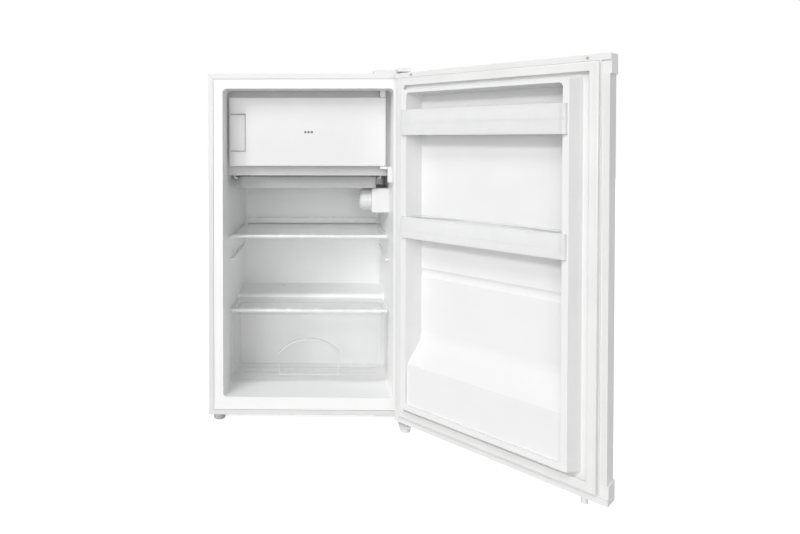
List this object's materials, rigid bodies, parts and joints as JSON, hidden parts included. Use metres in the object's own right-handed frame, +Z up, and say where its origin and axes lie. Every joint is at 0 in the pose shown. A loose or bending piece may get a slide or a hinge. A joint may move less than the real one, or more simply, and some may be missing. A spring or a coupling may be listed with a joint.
{
  "type": "mini fridge",
  "caption": "Small white single-door refrigerator with a freezer box, glass shelves, a clear crisper and door bins, standing with its door open.",
  "frame": {"origin": "on the floor, under the centre of the cabinet's footprint", "axes": "+Z up, +Y towards the back, +X to the right seen from the front; the cabinet's front opening faces -Y and the door is hinged at +X"},
  "size_m": [0.8181, 0.7615, 0.846],
  "materials": {
    "white_enamel": "gloss",
    "grey_enamel": "satin",
    "galvanised": "satin",
    "zinc_steel": "satin",
    "copper": "satin",
    "insulation": "matte",
    "white_liner": "satin",
    "white_plastic": "satin",
    "evaporator_metal": "satin",
    "clear_plastic": "polished",
    "smoke_plastic": "polished",
    "shelf_glass": "polished",
    "trim_plastic": "satin",
    "seal_rubber": "matte",
    "black_rubber": "matte",
    "dark_plastic": "matte",
    "grey_plastic": "matte"
  },
  "bodies": {
    "cabinet": {"outer_case": "white_enamel", "bottom_panel": "white_enamel", "rear_panel": "galvanised", "compressor_bay_panel": "grey_enamel", "compressor_base": "grey_enamel", "cabinet_foam": "insulation", "inner_liner": "white_liner", "freezer_frame": "white_plastic", "evaporator_box": "evaporator_metal", "evaporator_hangers": "white_plastic", "freezer_hinge_bracket": "white_plastic", "freezer_top_pivot": "white_plastic", "drip_tray_rails": "white_plastic", "thermostat_housing": "white_plastic", "thermostat_control": "dark_plastic", "compressor": "grey_enamel", "compressor_mount_plate": "galvanised", "compressor_grommets": "black_rubber", "compressor_bolts": "galvanised", "relay_cover": "dark_plastic", "filter_drier": "copper", "refrigerant_tubes": "copper", "water_pan": "grey_plastic", "drain_tube": "grey_plastic", "condenser_tube": "grey_enamel", "condenser_wires": "grey_enamel", "condenser_clips": "dark_plastic", "rear_panel_screws": "zinc_steel", "rear_feet": "dark_plastic", "top_hinge_bracket": "white_enamel", "top_hinge_cover": "white_plastic", "top_hinge_screws": "zinc_steel", "lower_hinge_bracket": "white_enamel", "lower_hinge_screws": "zinc_steel", "cord_gland": "black_rubber", "hinge_hole_plugs": "white_plastic"},
    "door": {"door_skin": "white_enamel", "door_top_cap": "white_plastic", "door_bottom_cap": "white_plastic", "door_foam": "insulation", "door_liner": "white_liner", "door_gasket": "seal_rubber", "door_hinge_bushes": "white_plastic", "door_cap_screws": "zinc_steel", "door_peg": "grey_plastic"},
    "door_top_bin": {"door_top_bin": "clear_plastic"},
    "door_middle_bin": {"door_middle_bin": "clear_plastic"},
    "freezer_door": {"freezer_door_front": "white_plastic", "freezer_door_back": "white_plastic"},
    "thermostat_knob": {"thermostat_knob": "white_plastic"},
    "upper_shelf": {"upper_shelf_glass": "shelf_glass", "upper_shelf_front_trim": "trim_plastic", "upper_shelf_rear_trim": "trim_plastic"},
    "crisper_cover": {"crisper_cover_glass": "shelf_glass", "crisper_cover_trim": "trim_plastic"},
    "crisper_drawer": {"crisper_drawer": "clear_plastic"},
    "drip_tray": {"drip_tray": "smoke_plastic"},
    "front_foot_left": {"front_foot_left": "grey_plastic"},
    "front_foot_right": {"front_foot_right": "white_plastic"}
  },
  "joints": [
    {"name": "door_hinge", "type": "hinge", "parent": "cabinet", "child": "door", "pos_m": [0.227, -0.218, 0], "axis": [0, 0, 1], "range_deg": [-136, 24]},
    {"name": "door_top_bin_pull", "type": "slide", "parent": "door", "child": "door_top_bin", "axis": [-0.6947, -0.7193, 0], "range_m": [0, 0.06]},
    {"name": "door_middle_bin_pull", "type": "slide", "parent": "door", "child": "door_middle_bin", "axis": [-0.6947, -0.7193, 0], "range_m": [0, 0.06]},
    {"name": "freezer_door_hinge", "type": "hinge", "parent": "cabinet", "child": "freezer_door", "pos_m": [0.184, -0.1334, 0.6], "axis": [0, 0, 1], "range_deg": [0, 90]},
    {"name": "thermostat_knob_turn", "type": "hinge", "parent": "cabinet", "child": "thermostat_knob", "pos_m": [0.145, -0.048, 0.524], "axis": [-1, 0, 0], "range_deg": [-150, 150]},
    {"name": "upper_shelf_slide", "type": "slide", "parent": "cabinet", "child": "upper_shelf", "axis": [0, -1, 0], "range_m": [0, 0.2]},
    {"name": "crisper_cover_slide", "type": "slide", "parent": "cabinet", "child": "crisper_cover", "axis": [0, -1, 0], "range_m": [0, 0.12]},
    {"name": "crisper_drawer_slide", "type": "slide", "parent": "cabinet", "child": "crisper_drawer", "axis": [0, -1, 0], "range_m": [0, 0.11]},
    {"name": "drip_tray_slide", "type": "slide", "parent": "cabinet", "child": "drip_tray", "axis": [0, -1, 0], "range_m": [0, 0.2]},
    {"name": "front_foot_left_turn", "type": "hinge", "parent": "cabinet", "child": "front_foot_left", "pos_m": [-0.217, -0.175, 0], "axis": [0, 0, 1], "continuous": true},
    {"name": "front_foot_right_turn", "type": "hinge", "parent": "cabinet", "child": "front_foot_right", "pos_m": [0.229, -0.238, 0], "axis": [0, 0, 1], "continuous": true}
  ]
}
